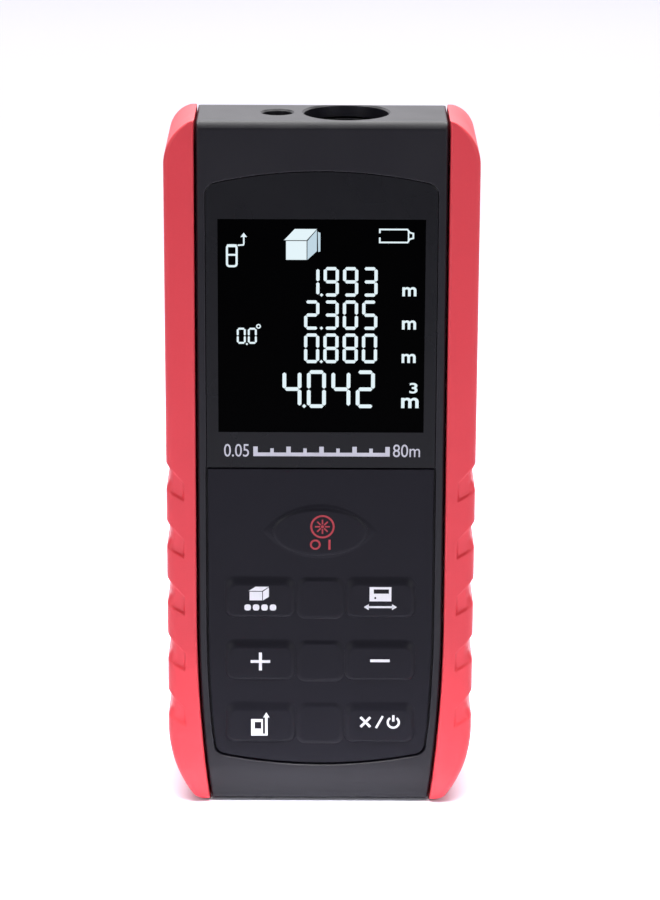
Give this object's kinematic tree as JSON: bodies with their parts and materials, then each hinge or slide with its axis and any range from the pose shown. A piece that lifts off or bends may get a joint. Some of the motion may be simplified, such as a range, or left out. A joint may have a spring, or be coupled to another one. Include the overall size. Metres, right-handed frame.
{
  "type": "laser distance meter",
  "caption": "Pocket laser distance meter: dark housing with ribbed red side grips, tall display window, silicone keypad, and laser and receiver optics in the top face.",
  "frame": {"origin": "middle of the lower end face, on which the meter stands", "axes": "+Z along the body towards the optics, -Y out of the display and keypad, +X across the width"},
  "size_m": [0.05, 0.026, 0.115],
  "materials": {
    "black_abs": "fine spark-eroded texture",
    "red_grip": "soft-touch, satin",
    "smoked_window": "glossy smoked acrylic",
    "display_glass": "glossy, black when seen through the window",
    "backlight": "white light guide",
    "foam": "closed-cell foam",
    "keypad_silicone": "matt moulded silicone",
    "circuit_board": "green solder mask",
    "chip": "moulded epoxy",
    "flex": "polyimide film",
    "chassis": "glass-filled black plastic",
    "optical_glass": "polished and coated",
    "brass": "turned",
    "nickel": "nickel plate",
    "steel": "zinc plate",
    "cell_sleeve": "printed sleeve"
  },
  "bodies": {
    "housing": {"front_housing": "black_abs", "rear_housing": "black_abs", "grip_left": "red_grip", "grip_right": "red_grip", "display_window": "smoked_window", "display_seal": "foam", "lcd_panel": "display_glass", "lcd_backlight": "backlight", "lcd_flex": "flex", "lcd_connector": "chip", "keypad_mat": "keypad_silicone", "main_board": "circuit_board", "processor_chip": "chip", "buzzer": "chip", "board_screw_left": "steel", "board_screw_right": "steel", "optics_chassis": "chassis", "receiver_lens": "optical_glass", "lens_ring": "chassis", "receiver_filter": "optical_glass", "photodiode": "nickel", "laser_barrel": "brass", "laser_diode": "brass", "collimator_lens": "optical_glass", "emitter_window": "optical_glass", "optics_board": "circuit_board", "optics_flex": "flex", "battery_cell_left": "cell_sleeve", "battery_cell_right": "cell_sleeve", "battery_spring_left": "steel", "battery_spring_right": "steel", "battery_link": "nickel", "battery_terminal_left": "nickel", "battery_terminal_right": "nickel", "screw_lower_left": "steel", "screw_lower_right": "steel", "screw_upper_left": "steel", "screw_upper_right": "steel", "dome_measure": "steel", "dome_menu": "steel", "dome_units": "steel", "dome_plus": "steel", "dome_minus": "steel", "dome_reference": "steel", "dome_clear": "steel"},
    "key_measure": {"key_measure": "keypad_silicone"},
    "key_menu": {"key_menu": "keypad_silicone"},
    "key_units": {"key_units": "keypad_silicone"},
    "key_plus": {"key_plus": "keypad_silicone"},
    "key_minus": {"key_minus": "keypad_silicone"},
    "key_reference": {"key_reference": "keypad_silicone"},
    "key_clear": {"key_clear": "keypad_silicone"},
    "battery_door": {"battery_door": "black_abs"}
  },
  "joints": [
    {"name": "key_measure_press", "type": "slide", "parent": "housing", "child": "key_measure", "axis": [0, 1, 0], "range_m": [0, 0.0006], "stiffness_N_per_m": 600},
    {"name": "key_menu_press", "type": "slide", "parent": "housing", "child": "key_menu", "axis": [0, 1, 0], "range_m": [0, 0.0006], "stiffness_N_per_m": 600},
    {"name": "key_units_press", "type": "slide", "parent": "housing", "child": "key_units", "axis": [0, 1, 0], "range_m": [0, 0.0006], "stiffness_N_per_m": 600},
    {"name": "key_plus_press", "type": "slide", "parent": "housing", "child": "key_plus", "axis": [0, 1, 0], "range_m": [0, 0.0006], "stiffness_N_per_m": 600},
    {"name": "key_minus_press", "type": "slide", "parent": "housing", "child": "key_minus", "axis": [0, 1, 0], "range_m": [0, 0.0006], "stiffness_N_per_m": 600},
    {"name": "key_reference_press", "type": "slide", "parent": "housing", "child": "key_reference", "axis": [0, 1, 0], "range_m": [0, 0.0006], "stiffness_N_per_m": 600},
    {"name": "key_clear_press", "type": "slide", "parent": "housing", "child": "key_clear", "axis": [0, 1, 0], "range_m": [0, 0.0006], "stiffness_N_per_m": 600},
    {"name": "battery_door_hinge", "type": "hinge", "parent": "housing", "child": "battery_door", "pos_m": [0, 0.01275, 0.00985], "axis": [-1, 0, 0], "range_deg": [0, 60]}
  ]
}
